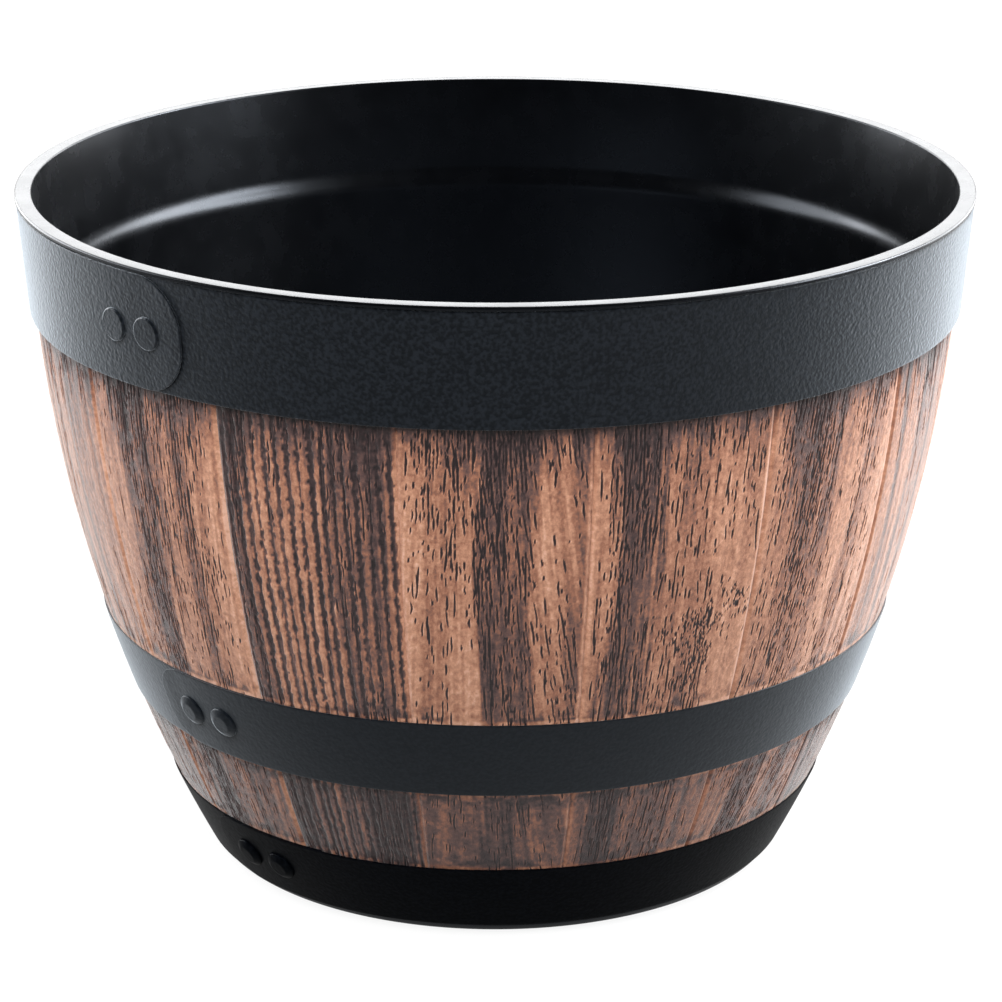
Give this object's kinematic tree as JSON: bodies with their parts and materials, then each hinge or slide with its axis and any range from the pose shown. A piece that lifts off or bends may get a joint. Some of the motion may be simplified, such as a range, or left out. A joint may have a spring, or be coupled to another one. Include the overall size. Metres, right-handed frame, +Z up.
{
  "type": "barrel-style flower pot",
  "caption": "Round barrel-style flower pot: bent wood-effect staves in riveted black hoops around an inner pot with a lip, drain hole and removable plug.",
  "frame": {"origin": "on the ground at the middle of the foot", "axes": "+Z up along the pot's axis; -Y is the side that the picture shows as the front"},
  "size_m": [0.23, 0.23, 0.1665],
  "materials": {
    "inner_plastic": "smooth black moulded plastic with a soft sheen",
    "stave_wood_effect": "moulded wood grain, copper-brown rubbed over near-black pores",
    "hoop_plastic": "black with a fine pebbled mould grain",
    "rivet_plastic": "black, smooth domed heads",
    "plug_rubber": "dull black rubber"
  },
  "bodies": {
    "pot": {"inner_pot": "inner_plastic", "stave_01": "stave_wood_effect", "stave_02": "stave_wood_effect", "stave_03": "stave_wood_effect", "stave_04": "stave_wood_effect", "stave_05": "stave_wood_effect", "stave_06": "stave_wood_effect", "stave_07": "stave_wood_effect", "stave_08": "stave_wood_effect", "stave_09": "stave_wood_effect", "stave_10": "stave_wood_effect", "stave_11": "stave_wood_effect", "stave_12": "stave_wood_effect", "stave_13": "stave_wood_effect", "stave_14": "stave_wood_effect", "stave_15": "stave_wood_effect", "stave_16": "stave_wood_effect", "rim_hoop": "hoop_plastic", "mid_hoop": "hoop_plastic", "base_hoop": "hoop_plastic", "rim_hoop_rivets": "rivet_plastic", "mid_hoop_rivets": "rivet_plastic", "base_hoop_rivets": "rivet_plastic"},
    "plug": {"drain_plug": "plug_rubber"}
  },
  "joints": [
    {"name": "plug_lift", "type": "slide", "parent": "pot", "child": "plug", "axis": [0, 0, 1], "range_m": [0, 0.18]}
  ]
}
